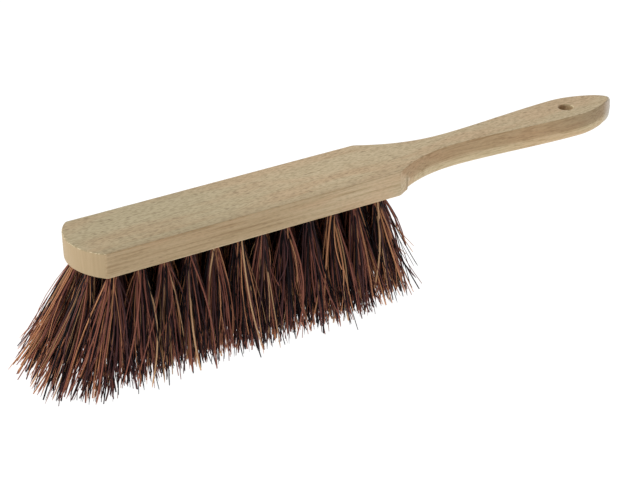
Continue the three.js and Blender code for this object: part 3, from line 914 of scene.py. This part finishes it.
class Bundle:
    """The fibres of one row and one colour, gathered before they become a mesh."""

    def __init__(self):
        self.points, self.faces, self.along, self.tone, self.strips = [], [], [], [], []

    def add(self, course):
        """One tapered tube along a course."""
        radius = THIN + (THICK - THIN) * dice.random() ** THICK_POWER
        flat = dice.uniform(*FLATNESS)
        twist = dice.uniform(0, math.pi)
        turn = dice.uniform(-TWIST, TWIST)
        pointed = dice.random() < POINTED_SHARE
        tone = dice.random()
        first = len(self.points)
        last = len(course) - 1
        for i, point in enumerate(course):
            t = i / last
            ahead = (course[min(i + 1, last)] - course[max(i - 1, 0)]).normalized()
            angle = twist + turn * t
            wide = Vector((math.cos(angle), math.sin(angle), 0))
            wide = (wide - ahead * wide.dot(ahead)).normalized()
            deep = ahead.cross(wide)
            taper = 1 - NARROWING * t
            if i == last:
                taper *= POINT_WIDTH if pointed else CUT_WIDTH
            for k in range(FIBRE_SIDES):
                a = 2 * math.pi * k / FIBRE_SIDES
                out = wide * math.cos(a) + deep * math.sin(a) * flat
                self.points.append(in_frame(point + out * radius * taper))
                self.along.append(t)
                self.tone.append(tone)
        for i in range(last):
            for k in range(FIBRE_SIDES):
                a, b = first + i * FIBRE_SIDES + k, first + i * FIBRE_SIDES + (k + 1) % FIBRE_SIDES
                self.faces.append((a, b, b + FIBRE_SIDES, a + FIBRE_SIDES))
                self.strips.append([(k, i), (k + 1, i), (k + 1, i + 1), (k, i + 1)])
        tip = [first + last * FIBRE_SIDES + k for k in range(FIBRE_SIDES)]
        self.faces.append(tuple(tip))
        self.strips.append([(k, last) for k in range(FIBRE_SIDES)])
        start = [first + k for k in reversed(range(FIBRE_SIDES))]
        self.faces.append(tuple(start))
        self.strips.append([(k, 0) for k in reversed(range(FIBRE_SIDES))])

    def piece(self, name):
        """The bundle as a mesh object."""
        mesh = bpy.data.meshes.new(name)
        mesh.from_pydata(self.points, [], self.faces)
        mesh.shade_smooth()
        for fact, values in (("along", self.along), ("tone", self.tone)):
            mesh.attributes.new(fact, "FLOAT", "POINT").data.foreach_set("value", values)
        faces_each = FIBRE_SIDES * FIBRE_STEPS + 2
        count = len(self.faces) // faces_each
        columns = math.ceil(math.sqrt(count * FIBRE_STEPS))
        lines = math.ceil(count / columns)
        spots = []
        for face, strip in enumerate(self.strips):
            column, line = (face // faces_each) % columns, (face // faces_each) // columns
            for k, i in strip:
                sideways = SIDE_GAP + (1 - 2 * SIDE_GAP) * k / FIBRE_SIDES
                upwards = END_GAP + (1 - 2 * END_GAP) * i / FIBRE_STEPS
                spots += [(column + sideways) / columns, (line + upwards) / lines]
        mesh.uv_layers.new(name="OFBake").data.foreach_set("uv", spots)
        made = bpy.data.objects.new(name, mesh)
        bpy.context.scene.collection.objects.link(made)
        return made


def pick_colour(place):
    """A random colour for one fibre, paler at the front, partly as painted light on the nose."""
    across = min((place.y + outer_row_y) / PALE_LIT_SIDE - DARK_CORNER, 1)
    front = min(max(1 - place.x / PALE_LIT_REACH, 0), 1) * across
    shares = [rear + (fore - rear) * front for rear, fore in COLOURS.values()]
    return dice.choices(list(COLOURS), shares)[0]


bundles = {(row, colour): Bundle() for row in range(ROWS) for colour in COLOURS}
for row, number in tufts:
    place = tuft_place(row, number)
    sheaves = [disc_point() for _ in range(SHEAVES_PER_TUFT)]
    for strand in range(FIBRES_PER_TUFT):
        course = fibre_course(place, sheaves[strand % SHEAVES_PER_TUFT])
        bundles[row, pick_colour(place)].add(course)

fibre_pieces = {}
for (row, colour), bundle in bundles.items():
    piece = bundle.piece(f"fibres_row_{row + 1}_{colour}")
    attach(piece, "root")
    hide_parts(f"tuft_row_{row + 1}")
    fibre_pieces[row, colour] = piece
fibre_faces = sum(len(piece.data.polygons) for piece in fibre_pieces.values())
print("Fibre pieces:", len(fibre_pieces), "faces:", fibre_faces)

# %% [markdown]
# ## The colours of palm fibre
# Dried palm fibre is satin rather than matt: its skin is smooth along the fibre and has fine
# grooves. Dark fibres have a purple-brown cast, and split ones show the pale inside. Each colour
# has its own material. Within it, the tone varies from fibre to fibre, and painted sheen runs in
# streaks along it. The fibres are painted darker at the roots, as shade between the tufts, and grow
# paler towards the tips from bleaching. Ahead of the nose they are painted a little darker, as
# shade.

# %% Finish the fibres
GROOVE_CELL = (0.35, 0.35, 14.0)  # mm, grooves along the fibre, coarser than the real ones
GROOVE_DEPTH = 0.1 * MM
GROOVE_SHEEN = 0.8  # how much the grooves add to a fibre's tone, as painted sheen in streaks along it
NOSE_SHADE_BEGIN, NOSE_SHADE_FULL = 0, -30  # mm from the front corners, painted shade on the fibres ahead of the nose
NOSE_SHADE = "#e6dfdb"
ROOT_SHADE, TIP_SHADE = 0.95, 1.4  # painted shade at the roots, between the tufts; the tips are bleached paler
FIBRE_COLOURS = {
    "black": ("#060406", "#1c1318"),
    "umber": ("#25161a", "#5f3d3c"),
    "russet": ("#5f3633", "#9c624f"),
    "amber": ("#8f5e46", "#cb9168"),
    "straw": ("#96714f", "#d0a67e"),
}


def palm_fibre(colour):
    """Dried palm fibre: a satin skin with fine grooves, painted sheen and shade, paler towards the
    tip.
    """
    dark, light = [linear(shade) for shade in FIBRE_COLOURS[colour]]
    material, tree = new_material(f"dried_palm_fibre_{colour}")
    place = add_node(tree, "ShaderNodeTexCoord").outputs["Object"]
    tone = add_node(tree, "ShaderNodeAttribute", {"attribute_name": "tone"}).outputs["Fac"]
    along = add_node(tree, "ShaderNodeAttribute", {"attribute_name": "along"}).outputs["Fac"]
    groove_place = add_node(
        tree, "ShaderNodeMapping", values={"Scale": cells_per_metre(*GROOVE_CELL)},
        links={"Vector": place})
    groove = add_node(
        tree, "ShaderNodeTexNoise", values={"Scale": 1.0, "Detail": 2.0},
        links={"Vector": groove_place.outputs["Vector"]})
    # painted sheen: the grooves streak the tone along each fibre
    shade = add_node(
        tree, "ShaderNodeMath", {"operation": "MULTIPLY_ADD", "use_clamp": True},
        {1: GROOVE_SHEEN}, {0: groove.outputs["Fac"], 2: tone})
    shade = add_node(
        tree, "ShaderNodeMapRange", values={"From Min": 0.2, "From Max": 1.2},
        links={"Value": shade.outputs["Value"]})
    skin = add_node(
        tree, "ShaderNodeMix", BLEND, {6: dark, 7: light},
        {0: shade.outputs["Result"]})
    # painted shade at the roots, bleaching towards the tips
    root_shade_and_bleach = add_node(
        tree, "ShaderNodeMapRange", values={"To Min": ROOT_SHADE, "To Max": TIP_SHADE},
        links={"Value": along})
    skin = add_node(
        tree, "ShaderNodeVectorMath", {"operation": "SCALE"},
        links={"Vector": skin.outputs[2], "Scale": root_shade_and_bleach.outputs["Result"]})
    ahead_of_block = add_node(
        # painted shade: the fibres ahead of the nose are darker
        tree, "ShaderNodeMapRange", SMOOTH,
        {"From Min": in_frame((NOSE_SHADE_BEGIN, 0, 0)).x, "From Max": in_frame((NOSE_SHADE_FULL, 0, 0)).x},
        {"Value": add_node(tree, "ShaderNodeSeparateXYZ", links={"Vector": place}).outputs["X"]})
    skin = add_node(
        tree, "ShaderNodeMix", TINT, {7: linear(NOSE_SHADE)},
        {0: ahead_of_block.outputs["Result"], 6: skin.outputs["Vector"]})
    relief = add_node(
        tree, "ShaderNodeBump", values={"Strength": 0.4, "Distance": GROOVE_DEPTH},
        links={"Height": groove.outputs["Fac"]})
    shader = add_node(
        tree, "ShaderNodeBsdfPrincipled",
        values={"IOR": 1.5, "Roughness": 0.5, "Specular IOR Level": 0.14},
        links={"Base Color": skin.outputs[2], "Normal": relief.outputs["Normal"]})
    add_node(tree, "ShaderNodeOutputMaterial", links={"Surface": shader.outputs["BSDF"]})
    return material


fibre_finishes = {colour: palm_fibre(colour) for colour in FIBRE_COLOURS}
for (row, colour), piece in fibre_pieces.items():
    piece.data.materials.append(fibre_finishes[colour])
print("Fibre materials:", len(fibre_finishes))

# %% [markdown]
# ## The staples
# Each tuft is pinned in its hole by a small staple of drawn steel wire. The staples are deep in the
# wood and can't be seen from outside, so the CAD solids stay as they are and get the finish of the
# wire: a grey metal with fine lines from the drawing die.

# %% Finish the staples
DRAWN_LINE = (0.15, 0.15, 6.0)  # mm


def drawn_steel_wire():
    """Drawn steel wire: a grey metal, streaked along its length."""
    material, tree = new_material("drawn_steel_wire")
    place = add_node(tree, "ShaderNodeTexCoord").outputs["Object"]
    line_place = add_node(
        tree, "ShaderNodeMapping", values={"Scale": cells_per_metre(*DRAWN_LINE)},
        links={"Vector": place})
    lines = add_node(
        tree, "ShaderNodeTexNoise", values={"Scale": 1.0},
        links={"Vector": line_place.outputs["Vector"]})
    colour = add_node(
        tree, "ShaderNodeMix", BLEND, {6: linear("#8f9192"), 7: linear("#b4b6b8")},
        {0: lines.outputs["Fac"]})
    satin = add_node(
        tree, "ShaderNodeMapRange", values={"To Min": 0.28, "To Max": 0.45},
        links={"Value": lines.outputs["Fac"]})
    shader = add_node(
        tree, "ShaderNodeBsdfPrincipled", values={"Metallic": 1.0},
        links={"Base Color": colour.outputs[2], "Roughness": satin.outputs["Result"]})
    add_node(tree, "ShaderNodeOutputMaterial", links={"Surface": shader.outputs["BSDF"]})
    return material


wire = drawn_steel_wire()
staples = [node for name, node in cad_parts.items() if name.startswith("staple")]
for staple in staples:
    staple.data.materials.clear()
    staple.data.materials.append(wire)
print("Staples finished:", len(staples))
